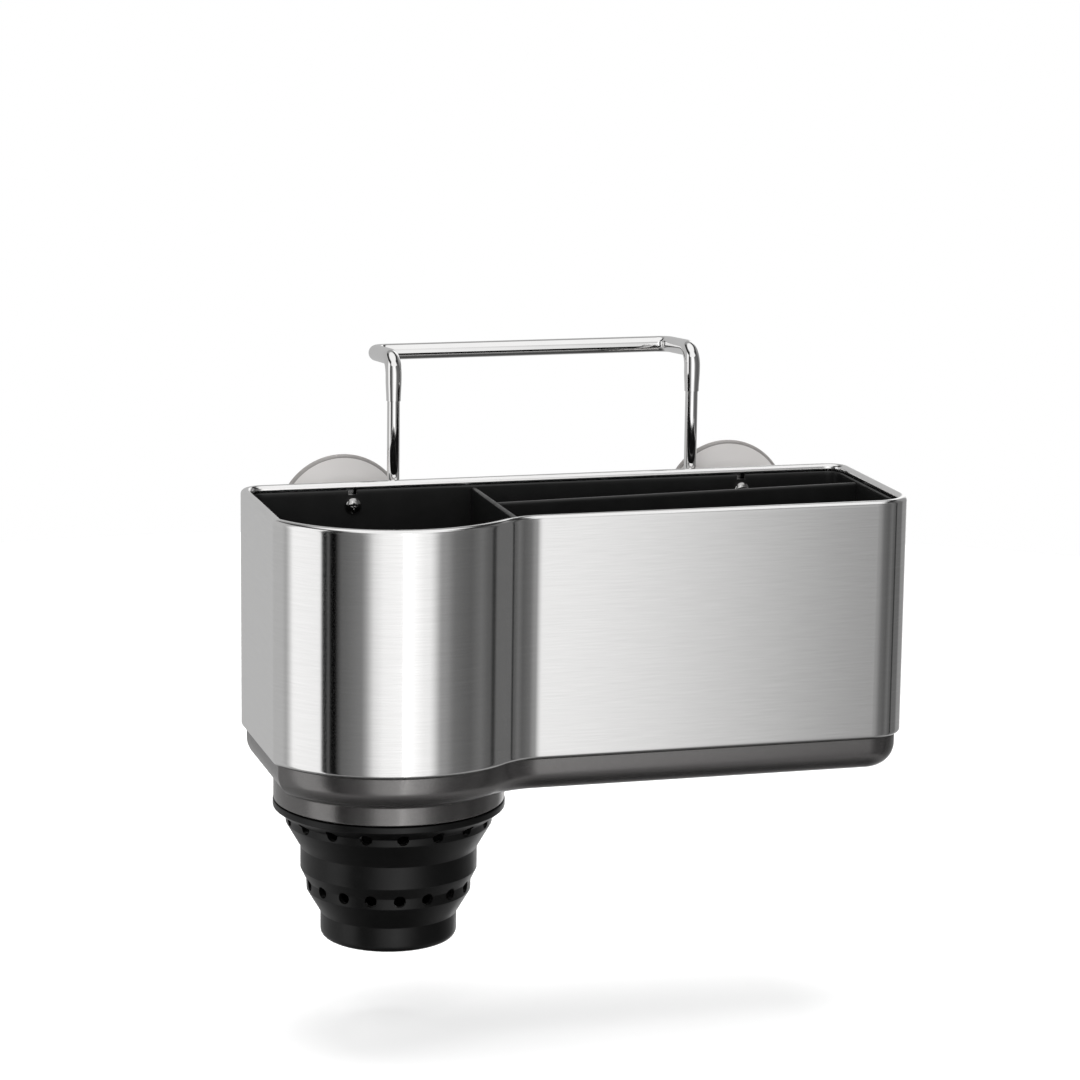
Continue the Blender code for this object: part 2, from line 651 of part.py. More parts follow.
def hanger(parent):
    body = anchor("hanger", parent, 0, ROD_Y, 0)
    rear_z = ARM_TOP_Z - ARM_FALL
    corners = [Vector((-ROD_X, 0, SLEEVE_Z)), Vector((-ROD_X, 0, ARM_TOP_Z))]
    corners.append(Vector((-ROD_X, ARM_LENGTH, rear_z)))
    corners += [Vector((-v.x, v.y, v.z)) for v in reversed(corners)]
    path = rounded_path(corners, (LEG_BEND, REAR_BEND, REAR_BEND, LEG_BEND), 5)
    end = Vector((0, 0, TUBE_END_LENGTH))
    left_end = [path[0], path[0] + end / 2, path[0] + end]
    right_end = [path[-1] + end, path[-1] + end / 2, path[-1]]
    path = left_end + path[1:-1] + right_end
    middle = (TUBE_END_RADIUS + TUBE_RADIUS) / 2 + 0.1
    radii = [TUBE_END_RADIUS, middle] + [TUBE_RADIUS] * (len(path) - 4) + [middle, TUBE_END_RADIUS]
    tube = solid("hanger_tube", swept(path, radii, COARSE), polished_steel, body)
    socket = ROD_RADIUS + SOCKET_FIT
    high = SLEEVE_Z + SOCKET_DEPTH
    sockets = [moved(rod(socket, SLEEVE_Z - 1, high), side * ROD_X) for side in (-1, 1)]
    combine(tube, together(sockets))
    for name, side in (("left", -1), ("right", 1)):
        low = ROD_BOTTOM
        shaft = [(ROD_RADIUS - 0.5, low), (ROD_RADIUS, low + 0.5), (ROD_RADIUS, high - GAP)]
        solid("hanger_rod_" + name, turned(shaft, COARSE), polished_steel, body, side * ROD_X)
        inner = ROD_RADIUS + SOCKET_FIT
        stop = [(inner, STOP_TOP - STOP_HEIGHT), (STOP_RADIUS, STOP_TOP - STOP_HEIGHT)]
        stop += [(STOP_RADIUS, STOP_TOP), (inner, STOP_TOP)]
        solid("rod_stop_" + name, turned(stop, COARSE, ring=True), black_plastic, body, side * ROD_X)
    return body


def main():
    # World zero is midway between the suction cups, on the plane they press against
    root = anchor("caddy", None, 0, -SUCTION_PLANE, -SUCTION_Z)
    steel_shell(root)
    liner(root)
    base_tray(root)
    cup_flange(root)
    cup_bottom(cup_middle(root))
    bracket_screws(root)
    base_screws(root)
    for name, side in (("left", -1), ("right", 1)):
        bracket("bracket_" + name, side, root)
        suction_cup("suction_cup_" + name, side, root)
        rod_bush("rod_bush_" + name, side, root)
    hanger(root)


main()
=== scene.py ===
import math

import bmesh
import bpy
from mathutils import Matrix, Quaternion, Vector


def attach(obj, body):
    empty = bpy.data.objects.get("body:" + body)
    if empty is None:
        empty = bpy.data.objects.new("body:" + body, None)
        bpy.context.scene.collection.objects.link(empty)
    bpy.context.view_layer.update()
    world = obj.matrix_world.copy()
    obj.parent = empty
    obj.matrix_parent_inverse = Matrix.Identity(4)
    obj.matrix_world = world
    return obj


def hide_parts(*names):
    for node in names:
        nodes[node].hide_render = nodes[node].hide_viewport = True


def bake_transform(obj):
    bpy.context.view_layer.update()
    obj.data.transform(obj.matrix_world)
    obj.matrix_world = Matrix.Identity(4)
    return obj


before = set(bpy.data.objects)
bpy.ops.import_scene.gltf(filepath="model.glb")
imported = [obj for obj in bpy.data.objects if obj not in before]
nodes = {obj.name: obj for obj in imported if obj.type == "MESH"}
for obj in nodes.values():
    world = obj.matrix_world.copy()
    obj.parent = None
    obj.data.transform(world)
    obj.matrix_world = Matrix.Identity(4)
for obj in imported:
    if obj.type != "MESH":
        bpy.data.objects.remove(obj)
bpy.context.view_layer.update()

print("frame loaded")

# Lengths are in millimetres, X right, Y back, Z up. Zero is the middle of the width,
# the back wall's outer face and the top of the rim.
mm = 0.001
gap = 0.3
past = 1.0  # how far a cutting tool reaches past what it cuts

body = {
    "width": 211.0,
    "flatDepth": 70.7,
    "noseRadius": 46.3,
    "noseX": -63.3,
    "noseY": -39.3,
    "backCorner": 8.0,
    "rightCorner": 13.5,
    "leftCorner": 4.5,
    "waist": 20.0,
    "smallest": 0.6,  # least radius of a corner on an inner wall
    "loop": 0.7,  # loops this close to each bend keep the flats flat
    "height": 79.2,
}
bay = (body["noseX"], body["noseY"])
suction = {"x": 67.4, "z": -15.1, "plane": 13.0, "screwStep": 7.6}

# The row's own zero lies between the suction cups, on the plane that they press on
origin = Vector((0, -suction["plane"], -suction["z"])) * mm


def inRow(x, y, z):
    return Vector((x, y, z)) * mm + origin


# Shader maths


class Signal:
    def __init__(self, board, socket):
        self.board = board
        self.socket = socket

    def math(self, operation, other=None, flip=False):
        sides = [other, self] if flip else [self, other]
        values = {i: side for i, side in enumerate(sides) if side is not None}
        return self.board.add("ShaderNodeMath", {"operation": operation}, values)

    def __add__(self, other):
        return self.math("ADD", other)

    def __sub__(self, other):
        return self.math("SUBTRACT", other)

    def __rsub__(self, other):
        return self.math("SUBTRACT", other, True)

    def __mul__(self, other):
        return self.math("MULTIPLY", other)

    def __truediv__(self, other):
        return self.math("DIVIDE", other)

    def __rtruediv__(self, other):
        return self.math("DIVIDE", other, True)

    __radd__ = __add__
    __rmul__ = __mul__


class Board:
    # A node tree, and one way to add any node to it
    def __init__(self, owner):
        owner.use_nodes = True
        self.tree = owner.node_tree
        self.tree.nodes.clear()

    def add(self, kind, settings=None, values=None, output=0):
        node = self.tree.nodes.new(kind)
        for key, value in (settings or {}).items():
            if key == "stops":
                self.setStops(node.color_ramp, value)
            else:
                setattr(node, key, value)
        for key, value in (values or {}).items():
            if isinstance(value, Signal):
                self.tree.links.new(value.socket, node.inputs[key])
            else:
                node.inputs[key].default_value = value
        return Signal(self, node.outputs[output]) if node.outputs else node

    def setStops(self, ramp, stops):
        while len(ramp.elements) < len(stops):
            ramp.elements.new(0.5)
        for element, (place, level) in zip(ramp.elements, stops):
            element.position = place
            element.color = (level, level, level, 1)

    def blend(self, factor, first, second):
        return self.add("ShaderNodeMix", {"data_type": "RGBA"}, {0: factor, 6: first, 7: second}, 2)

    def place(self, scale):
        # The object's own coordinates, times a scale
        spot = self.add("ShaderNodeTexCoord", output=3)
        return self.add("ShaderNodeVectorMath", {"operation": "MULTIPLY"}, {0: spot, 1: scale})

    def noise(self, scale, detail):
        # The scale is one number, or three for streaks. It counts spots in a metre.
        spot = self.place(scale if isinstance(scale, tuple) else (scale, scale, scale))
        values = {"Vector": spot, "Scale": 1.0, "Detail": detail, "Roughness": 0.5}
        return self.add("ShaderNodeTexNoise", None, values)

    def ramp(self, value, stops):
        return self.add("ShaderNodeValToRGB", {"stops": stops}, {0: value})

    def bump(self, height, distance, strength):
        values = {"Height": height, "Distance": distance, "Strength": strength}
        return self.add("ShaderNodeBump", None, values)


# Finishes. A noise is given by its scale and detail, a dent by its depth in metres and its strength.


def finish(name, color, roughness, metallic=0.0, **fixed):
    material = bpy.data.materials.new(name)
    board = Board(material)
    values = {"Base Color": color, "Roughness": roughness, "Metallic": metallic, **fixed}
    values = {key: value(board) if callable(value) else value for key, value in values.items()}
    shader = board.add("ShaderNodeBsdfPrincipled", None, values)
    board.add("ShaderNodeOutputMaterial", None, {"Surface": shader})
    return material


def mottled(name, look, metallic=0.0, **fixed):
    # Tint, wear and small dents that each follow a noise of their own
    return finish(
        name,
        lambda b: b.blend(b.noise(*look["tint"]), look["dark"], look["light"]),
        lambda b: b.noise(*look["wear"]) * look["spread"] + look["roughness"],
        metallic,
        Normal=lambda b: b.bump(b.noise(*look["dents"]), look["depth"], look["strength"]),
        **fixed,
    )


streaks = {"fine": ((95, 95, 3600), 3.0), "broad": ((45, 45, 1500), 2.0), "fineShare": 0.7}


def steelGrain(board):
    # Long thin streaks that run round the body
    share = streaks["fineShare"]
    return board.noise(*streaks["fine"]) * share + board.noise(*streaks["broad"]) * (1 - share)


def brushedSteel():
    look = {
        "dark": (0.77, 0.765, 0.76, 1), "light": (0.965, 0.96, 0.955, 1),
        "roughness": 0.105, "spread": 0.05, "depth": 0.000006, "strength": 0.3,
    }
    return finish(
        "brushedSteel",
        lambda b: b.blend(steelGrain(b), look["dark"], look["light"]),
        lambda b: steelGrain(b) * look["spread"] + look["roughness"],
        1.0,
        Normal=lambda b: b.bump(b.noise(*streaks["fine"]), look["depth"], look["strength"]),
        Anisotropic=1.0,
        **{"Anisotropic Rotation": 0.25},
    )


def rolledSteel():
    look = {
        "dark": (0.82, 0.815, 0.81, 1), "light": (0.93, 0.925, 0.92, 1), "tint": ((60, 60, 900), 3.0),
        "roughness": 0.1, "spread": 0.06, "wear": (400, 3.0),
        "dents": ((300, 300, 1800), 2.0), "depth": 0.000006, "strength": 0.2,
    }
    return mottled("rolledSteel", look, 1.0)


def polishedSteel():
    look = {
        "dark": (0.84, 0.835, 0.83, 1), "light": (0.93, 0.925, 0.92, 1), "tint": (50, 3.0),
        "roughness": 0.03, "spread": 0.06, "wear": (250, 4.0),
        "dents": (1500, 2.0), "depth": 0.000004, "strength": 0.15,
    }
    return mottled("polishedSteel", look, 1.0)


def screwSteel():
    look = {
        "dark": (0.4, 0.395, 0.39, 1), "light": (0.56, 0.555, 0.55, 1), "tint": (700, 4.0),
        "roughness": 0.1, "spread": 0.06, "wear": (900, 3.0),
        "dents": (2500, 2.0), "depth": 0.00001, "strength": 0.2,
    }
    return mottled("screwSteel", look, 1.0)


def blackPlastic():
    look = {
        "dark": (0.005, 0.005, 0.005, 1), "light": (0.013, 0.013, 0.013, 1), "tint": (120, 4.0),
        "roughness": 0.27, "spread": 0.16, "wear": (300, 4.0),
        "dents": (2500, 3.0), "depth": 0.00003, "strength": 0.2,
    }
    return mottled("blackPlastic", look, **{"Specular IOR Level": 0.4})


def greyPlastic():
    # Pigment with fine metal flakes
    look = {
        "ground": (0.185, 0.18, 0.178, 1), "flake": (0.42, 0.41, 0.405, 1),
        "flakes": 3800.0, "flakeStops": [(0.0, 1.0), (0.18, 0.3), (0.4, 0.0)],
        "roughness": 0.18, "spread": 0.06, "wear": (350, 4.0),
        "metallic": 0.9, "flakeMetallic": 0.1,
        "dents": (3500, 2.0), "depth": 0.00002, "strength": 0.2,
    }

    def flecked(board):
        spot = board.place((1, 1, 1))
        cells = board.add("ShaderNodeTexVoronoi", None, {"Vector": spot, "Scale": look["flakes"]})
        return board.ramp(cells, look["flakeStops"])

    return finish(
        "greyPlastic",
        lambda b: b.blend(flecked(b), look["ground"], look["flake"]),
        lambda b: b.noise(*look["wear"]) * look["spread"] + look["roughness"],
        lambda b: flecked(b) * look["flakeMetallic"] + look["metallic"],
        Normal=lambda b: b.bump(b.noise(*look["dents"]), look["depth"], look["strength"]),
    )


def blackSilicone():
    look = {
        "dark": (0.0015, 0.0015, 0.0015, 1), "light": (0.004, 0.004, 0.004, 1), "tint": (180, 5.0),
        "roughness": 0.27, "spread": 0.14, "wear": (260, 5.0),
        "dents": (1800, 4.0), "depth": 0.00004, "strength": 0.25,
    }
    return mottled("blackSilicone", look, **{"Specular IOR Level": 0.3})


def clearRubber(name, dark, light):
    look = {
        "dark": dark, "light": light, "tint": (70, 3.0),
        "roughness": 0.26, "spread": 0.08, "wear": (120, 3.0),
        "dents": (60, 2.0), "depth": 0.00004, "strength": 0.2,
    }
    return mottled(name, look, IOR=1.42, **{"Transmission Weight": 0.22})


steelFace = brushedSteel()
steelRim = rolledSteel()
steelBright = polishedSteel()
steelScrew = screwSteel()
plasticBlack = blackPlastic()
plasticGrey = greyPlastic()
siliconeBlack = blackSilicone()
rubberClear = clearRubber("clearRubber", (0.9, 0.875, 0.86, 1), (0.97, 0.95, 0.935, 1))
# A dark grey for the suction cups' thin rim: painted shade, where the clear rubber looks darker at its
# edge
rubberLip = clearRubber("rubberLip", (0.3, 0.285, 0.28, 1), (0.38, 0.36, 0.35, 1))
print("finishes ready")


# Mesh helpers

facets = {"round": 144, "disc": 96, "bar": 40, "boss": 32, "cupHole": 28, "hole": 24}
topForward = Matrix.Rotation(math.radians(90), 4, "X")
topBack = Matrix.Rotation(math.radians(-90), 4, "X")
topDown = Matrix.Rotation(math.pi, 4, "X")


def arcPoints(cx, cy, radius, start, end, steps):
    points = []
    for i in range(steps + 1):
        turn = math.radians(start + (end - start) * i / steps)
        points.append((cx + radius * math.cos(turn), cy + radius * math.sin(turn)))
    return points


def circlePoints(radius, count):
    return arcPoints(0, 0, radius, 0, 360, count)[:-1]


def spaced(start, end, count):
    # Points from start to end, without the last
    (x0, y0), (x1, y1) = start, end
    return [(x0 + (x1 - x0) * i / count, y0 + (y1 - y0) * i / count) for i in range(count)]


def softened(points, radii, steps):
    # Rounds the corners of a flat line of (x, y) points, but not its ends.
    # A corner takes less than half of each side.
    flat, most = 178, 0.48
    result = []
    last = len(points) - 1
    for i, point in enumerate(points):
        radius = radii[i] if isinstance(radii, list) else radii
        if i in (0, last) or radius <= 0:
            result.append(point)
            continue
        corner = Vector(point)
        into = Vector(points[i - 1]) - corner
        out = Vector(points[i + 1]) - corner
        angle = into.angle(out)
        if angle > math.radians(flat):
            result.append(point)
            continue
        reach = min(radius / math.tan(angle / 2), into.length * most, out.length * most)
        radius = reach * math.tan(angle / 2)
        into.normalize()
        out.normalize()
        middle = corner + (into + out).normalized() * radius / math.sin(angle / 2)
        start = corner + into * reach - middle
        end = corner + out * reach - middle
        sweep = math.atan2(start.x * end.y - start.y * end.x, start.dot(end))
        for k in range(steps + 1):
            result.append(tuple(middle + Matrix.Rotation(sweep * k / steps, 2) @ start))
    return result


def bodyOutline(inset):
    # Seen from above, from the right back corner: back, left, nose, waist, flat front, right
    left = inset - body["width"] / 2
    right = -left
    front = inset - body["flatDepth"]
    nose = body["noseRadius"] - inset
    noseX, noseY = bay
    names = ("backCorner", "rightCorner", "leftCorner")
    backR, rightR, leftR = (max(body[name] - inset, body["smallest"]) for name in names)
    cornerX = left + leftR
    cornerY = noseY - math.sqrt((nose - leftR) ** 2 - (cornerX - noseX) ** 2)
    cornerTurn = math.degrees(math.atan2(cornerY - noseY, cornerX - noseX)) + 360
    waistR = body["waist"] + inset
    waistY = front - waistR
    waistX = noseX + math.sqrt((nose + waistR) ** 2 - (waistY - noseY) ** 2)
    waistTurn = math.degrees(math.atan2(waistY - noseY, waistX - noseX)) + 360
    near = body["loop"]
    points = [(right, -inset - backR - near)]
    points += arcPoints(right - backR, -inset - backR, backR, 0, 90, steps=10)
    points += [(right - backR - near, -inset), (left + backR + near, -inset)]
    points += arcPoints(left + backR, -inset - backR, backR, 90, 180, steps=10)
    points += [(left, -inset - backR - near), (left, cornerY + near)]
    points += arcPoints(cornerX, cornerY, leftR, 180, cornerTurn, steps=8)
    points += arcPoints(noseX, noseY, nose, cornerTurn, waistTurn, steps=72)[1:]
    points += arcPoints(waistX, waistY, waistR, waistTurn - 180, 90, steps=16)[1:]
    points += [(waistX + near, front), (right - rightR - near, front)]
    points += arcPoints(right - rightR, front + rightR, rightR, 270, 360, steps=16)
    points += [(right, front + rightR + near)]
    return points


def loft(loops, ring=False):
    # Skins loops of points. A ring joins the last loop to the first, and else both ends are capped.
    mesh = bmesh.new()
    rows = [[mesh.verts.new(point) for point in loop] for loop in loops]
    count = len(rows[0])
    spans = len(rows) if ring else len(rows) - 1
    for i in range(spans):
        near, far = rows[i], rows[(i + 1) % len(rows)]
        for j in range(count):
            k = (j + 1) % count
            mesh.faces.new((near[j], near[k], far[k], far[j]))
    if not ring:
        mesh.faces.new(rows[0][::-1])
        mesh.faces.new(rows[-1])
    bmesh.ops.recalc_face_normals(mesh, faces=mesh.faces)
    return mesh


def walls(profile, ring=False):
    # Runs a profile of (inset, z) points round the body
    return loft([[(x, y, z) for x, y in bodyOutline(inset)] for inset, z in profile], ring)


def turned(profile, segments, ring=False):
    # Turns a profile of (radius, z) points about the Z axis
    return loft([[(x, y, z) for x, y in circlePoints(radius, segments)] for radius, z in profile], ring)


def rod(radius, low, high, segments=facets["boss"]):
    return turned([(radius, low), (radius, high)], segments)


def block(low, high):
    corners = [(low[0], low[1]), (high[0], low[1]), (high[0], high[1]), (low[0], high[1])]
    return loft([[(x, y, z) for x, y in corners] for z in (low[2], high[2])])


def moved(mesh, x=0.0, y=0.0, z=0.0, turn=None):
    shift = Matrix.Translation((x, y, z))
    bmesh.ops.transform(mesh, matrix=shift @ turn if turn else shift, verts=mesh.verts)
    return mesh


def together(meshes):
    whole = bmesh.new()
    for mesh in meshes:
        data = bpy.data.meshes.new("part")
        mesh.to_mesh(data)
        mesh.free()
        whole.from_mesh(data)
        bpy.data.meshes.remove(data)
    return whole


def made(name, mesh, *materials):
    # Puts a mesh in millimetres into the scene, as a piece in the row's frame
    bmesh.ops.scale(mesh, vec=(mm, mm, mm), verts=mesh.verts)
    bmesh.ops.translate(mesh, vec=origin, verts=mesh.verts)
    data = bpy.data.meshes.new(name)
    mesh.to_mesh(data)
    mesh.free()
    item = bpy.data.objects.new(name, data)
    bpy.context.scene.collection.objects.link(item)
    for material in materials:
        data.materials.append(material)
    return item


def carve(item, *steps):
    # Each step is a mesh or a piece, with its operation. The result becomes the piece's own mesh.
    tools = []
    for mesh, operation in steps:
        tool = mesh if isinstance(mesh, bpy.types.Object) else made(item.name + "Tool", mesh)
        tools.append(tool)
        change = item.modifiers.new(operation.lower(), "BOOLEAN")
        change.operation = operation
        change.solver = "EXACT"
        change.object = tool
    bpy.context.view_layer.update()
    shaped = item.evaluated_get(bpy.context.evaluated_depsgraph_get())
    old = item.data
    item.data = bpy.data.meshes.new_from_object(shaped)
    item.data.name = item.name
    item.modifiers.clear()
    bpy.data.meshes.remove(old)
    for tool in tools:
        data = tool.data
        bpy.data.objects.remove(tool)
        bpy.data.meshes.remove(data)
    return item


def settle(item, onBody, replaced, crease=35):
    # Shades a piece, with edges over the crease angle sharp, puts it on its body and hides the nodes
    # that it replaces
    item.data.shade_smooth()
    item.data.set_sharp_from_angle(angle=math.radians(crease))
    if onBody:
        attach(item, onBody)
    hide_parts(*replaced)


# Steel shell

shell = {
    "sheet": 0.8, "bead": 1.6, "hem": 0.4, "footRadius": 1.2, "footReach": 3.4, "screwHole": 1.8,
    "innerLoop": 6.0, "outerLoop": 0.5,  # loops this far from the bends keep the walls flat
    "rimDepth": 0.2,  # how far the rim's finish goes below the bead's middle
}


def screwSpots():
    # Where the bracket screws pass the back wall, as (x, z): left top, left low, right top, right low
    return [
        (side * suction["x"], suction["z"] + step * suction["screwStep"])
        for side in (-1, 1)
        for step in (1, -1)
    ]


def wallPegs(radius, near, far, segments):
    # One rod for each bracket screw, from near to far in front of the back wall's outer face
    return [moved(rod(radius, near, far, segments), x, 0, z, topForward) for x, z in screwSpots()]


def steelShell():
    s = shell
    bead, sheet, bend = s["bead"], s["sheet"], s["footRadius"]
    foot, hemZ = -body["height"], -bead - s["hem"]
    profile = arcPoints(bead, -bead, bead, 180, 0, steps=16)
    profile += [(2 * bead, hemZ), (2 * bead - sheet, hemZ)]
    profile += arcPoints(bead, -bead, bead - sheet, 0, 180, steps=10)
    profile += [(sheet, -s["innerLoop"]), (sheet, foot + s["innerLoop"])]
    profile += arcPoints(bend, foot + bend, bend - sheet, 180, 270, steps=3)
    profile += [(s["footReach"], foot + sheet), (s["footReach"], foot)]
    profile += arcPoints(bend, foot + bend, bend, 270, 180, steps=8)
    profile += [(0, foot + bend + s["outerLoop"]), (0, -bead - s["outerLoop"])]
    mesh = walls(profile, ring=True)
    for face in mesh.faces:
        if face.calc_center_median().z > -bead - s["rimDepth"]:
            face.material_index = 1
    item = made("steelShell", mesh, steelFace, steelRim)
    holes = wallPegs(s["screwHole"], -past, 2 * past, facets["boss"])
    carve(item, (together(holes), "DIFFERENCE"))
    settle(item, "caddy", ["steel_shell"])


steelShell()
print("steel shell made")


# Base tray and collar

tray = {
    "inset": 1.7, "wall": 2.0, "top": -79.5, "rounding": 8.0, "bottom": -91.0,
    "edgeWide": 1.2, "edgeSoft": 0.4,
    "collarRadius": 37.5, "collarBottom": -96.9, "collarEdge": 0.5, "collarIn": 0.5,
    "collarLoop": 2.0, "boreRadius": 35.5,
    "screwHole": 1.8, "screwRecess": 3.0, "recessDepth": 1.3,
    "screwColumns": (-17.9, 92.1), "screwRows": (-13.4, -57.3),
    "drain": 2.5, "drainFrom": -9.9, "drainPitch": 16.0, "drainCount": 6, "drainRows": (-13.4, -51.3),
}
turnInset = tray["inset"] + tray["rounding"]  # the middle of the bend between wall and floor
turnZ = tray["bottom"] + tray["rounding"]
baseScrewSpots = [(x, y) for x in tray["screwColumns"] for y in tray["screwRows"]]
drainColumns = [tray["drainFrom"] + tray["drainPitch"] * i for i in range(tray["drainCount"])]
drainSpots = [(x, y) for x in drainColumns for y in tray["drainRows"]]


def floorRods(spots, radius, low, high, segments=facets["hole"]):
    return [moved(rod(radius, low, high, segments), x, y) for x, y in spots]


def baseTray():
    t = tray
    inset, wall, bottom = t["inset"], t["wall"], t["bottom"]
    radius, low, soft = t["collarRadius"], t["collarBottom"], t["collarEdge"]
    edge = [(inset + t["edgeWide"], t["top"]), (inset, t["top"]), (inset, turnZ)]
    profile = softened(edge, t["edgeSoft"], steps=3)
    profile += arcPoints(turnInset, turnZ, t["rounding"], 180, 270, steps=16)[1:]
    item = made("baseTray", walls(profile), plasticGrey)
    inside = [(inset + wall, t["top"] + past)]
    inside += arcPoints(turnInset, turnZ, t["rounding"] - wall, 180, 270, steps=8)
    side = [(radius, turnZ - t["collarIn"]), (radius, low + t["collarLoop"])]
    side += arcPoints(radius - soft, low + soft, soft, 0, -90, steps=4)
    collar = moved(turned(side, facets["round"]), *bay)
    bore = moved(rod(t["boreRadius"], low - past, turnZ, facets["round"]), *bay)
    seat = bottom + t["recessDepth"]
    stepped = [(t["screwRecess"], bottom - past), (t["screwRecess"], seat)]
    stepped += [(t["screwHole"], seat), (t["screwHole"], bottom + wall + past)]
    holes = [moved(turned(stepped, facets["hole"]), x, y) for x, y in baseScrewSpots]
    holes += floorRods(drainSpots, t["drain"], bottom - past, bottom + wall + past / 2)
    carve(
        item,
        (collar, "UNION"),
        (walls(inside), "DIFFERENCE"),
        (bore, "DIFFERENCE"),
        (together(holes), "DIFFERENCE"),
    )
    settle(item, "caddy", ["base_tray"], crease=24)


baseTray()
print("base tray made")


# Liner, a divided tub with rounded edges

liner = {
    "top": -2.4, "topInset": 2.2, "wall": 1.7, "drop": 5.7, "foot": 4.0, "rimSoft": 0.5,
    "dividerX": -26.3, "divider": 1.8, "dividerTop": -3.0, "dividerSoft": 0.7, "dividerLoop": 1.5,
    "leftY": -32.5, "rightY": -22.9,  # the long divider's back face at both ends
    "cupHole": 32.5, "boss": 3.4, "bossHeight": 5.5, "bossCap": 1.2, "bossSunk": 0.5, "padSunk": 1.0,
    "screwHole": 1.8, "pilot": 1.65, "notchWide": 3.0, "notchDeep": 1.6,
}


def slab(first, last, low):
    # Upright wall with a rounded top edge
    half, top = liner["divider"] / 2, liner["dividerTop"]
    near = top - liner["dividerLoop"]  # a loop close to the rounding keeps the sides flat
    section = [(-half, low), (-half, near), (-half, top), (half, top), (half, near), (half, low)]
    section = softened(section, liner["dividerSoft"], steps=5)
    side = (Vector(last) - Vector(first)).orthogonal().normalized()
    return loft([[(x + side.x * s, y + side.y * s, z) for s, z in section] for x, y in (first, last)])


def linerDividers(floor):
    # One wall across and one along the right side, both cut to the tub's inside
    t = liner
    sink = t["wall"] / 3  # how far they reach into the tub's own walls
    inside = [(t["topInset"] + sink, t["top"])]
    inside += arcPoints(turnInset, turnZ, t["drop"] - sink, 180, 270, steps=8)
    far, x, y = body["width"], t["dividerX"], t["leftY"] + t["divider"] / 2
    slope = (t["rightY"] - t["leftY"]) / (far / 2 - x)
    across = slab((x, -far), (x, far), floor - sink)
    along = slab((x, y), (x + far, y + slope * far), floor - sink)
    item = made("dividers", across, plasticBlack)
    return carve(item, (along, "UNION"), (walls(inside), "INTERSECT"))


def linerTub():
    t = liner
    bottom = turnZ - t["drop"]
    floor = bottom + t["wall"]
    outside = spaced((t["topInset"], t["top"]), (t["foot"], turnZ), 50)[:2]  # the rim, a loop under it
    inside = [(x + t["wall"], z) for x, z in outside]
    profile = arcPoints(turnInset, turnZ, t["drop"], 270, 180, steps=8)
    profile += softened(outside[::-1] + inside, [0, t["rimSoft"], t["rimSoft"], 0], steps=4)
    profile += arcPoints(turnInset, turnZ, t["drop"] - t["wall"], 180, 270, steps=8)
    item = made("linerTub", walls(profile), plasticBlack)
    dividers = linerDividers(floor)
    bossLow, bossTop = floor - t["bossSunk"], floor + t["bossHeight"]
    bosses = floorRods(baseScrewSpots, t["boss"], bossLow, bossTop, facets["boss"])
    bosses += wallPegs(t["boss"], shell["sheet"] + gap, t["topInset"] + t["padSunk"], facets["boss"])
    holes = wallPegs(t["screwHole"], 0, turnInset, facets["hole"])
    holes += floorRods(baseScrewSpots, t["pilot"], bottom - past, bossTop - t["bossCap"])
    holes += floorRods(drainSpots, tray["drain"], bottom - past, floor + past)
    holes += floorRods([bay], t["cupHole"], bottom - past, turnZ, facets["round"])
    half = t["notchWide"] / 2
    for x in (-suction["x"], suction["x"]):
        low = (x - half, -turnInset, t["top"] - t["notchDeep"])
        high = (x + half, -shell["sheet"] - gap, t["top"] + past)
        holes.append(block(low, high))
    carve(item, (dividers, "UNION"), (together(bosses), "UNION"), (together(holes), "DIFFERENCE"))
    settle(item, "caddy", ["liner"], crease=30)


linerTub()
print("liner made")


# Folding cup, one moulding shown as two halves that meet in the middle ring

cup = {
    "wall": 1.8, "cuff": 35.2, "cuffInner": 31.9, "cuffTop": -89.0,
    "lip": 37.7, "lipTop": -97.2, "lipBottom": -99.2,
    "band": 33.6, "bandTop": -102.3, "bandBottom": -104.7,
    "ring": 28.75, "ringTop": -112.9, "split": -116.6, "ringEdge": -120.2,
    "lowBand": 26.8, "lowBandTop": -124.0, "ringBottom": -127.5,
    "base": 22.2, "baseTop": -135.1, "bottom": -143.5,
    "draft": 0.1, "thinner": 0.8,  # the inner corners lie higher, so the cones get thin
    "under": 6.0, "floor": 8.0,  # how far the floor's two faces reach in from the base's wall
    "holes": 18, "holeRadius": 1.95, "holeTurn": -5.8, "rowDrop": 0.1, "lowRowDrop": 0.8,
    "floorHoles": 6, "floorRing": 12.0,
    "span": 1.6,  # no longer stretch of a profile is left undivided
    "upperSoft": [0, 0.1, 0.3, 0.5, 0.5, 0.4, 0.4, 0], "upperInnerSoft": [0, 0.5, 0.5, 0.5, 0.5, 0],
    "lowerSoft": [0, 0.5, 0.5, 0.4, 0.4, 2.4, 0], "lowerInnerSoft": [0, 0.5, 0.5, 0.5, 0.5, 1.2, 0],
}


def divided(profile, ring=False):
    # Adds points along the long spans of a profile
    after = profile[1:] + profile[:1] if ring else profile[1:]
    result = []
    for start, end in zip(profile, after):
        result += spaced(start, end, max(1, math.ceil(math.dist(start, end) / cup["span"])))
    return result if ring else result + profile[-1:]


def holeRow(z, near, far):
    holes = []
    for i in range(cup["holes"]):
        turn = math.radians(cup["holeTurn"] + 360 * i / cup["holes"])
        hole = moved(rod(cup["holeRadius"], near, far, facets["cupHole"]), turn=topForward)
        holes.append(moved(hole, 0, 0, z, Matrix.Rotation(turn, 4, "Z")))
    return moved(together(holes), *bay)


def cupHalf(name, profile, ring):
    mesh = turned(divided(profile, ring), facets["round"], ring)
    return made(name, moved(mesh, *bay), siliconeBlack)


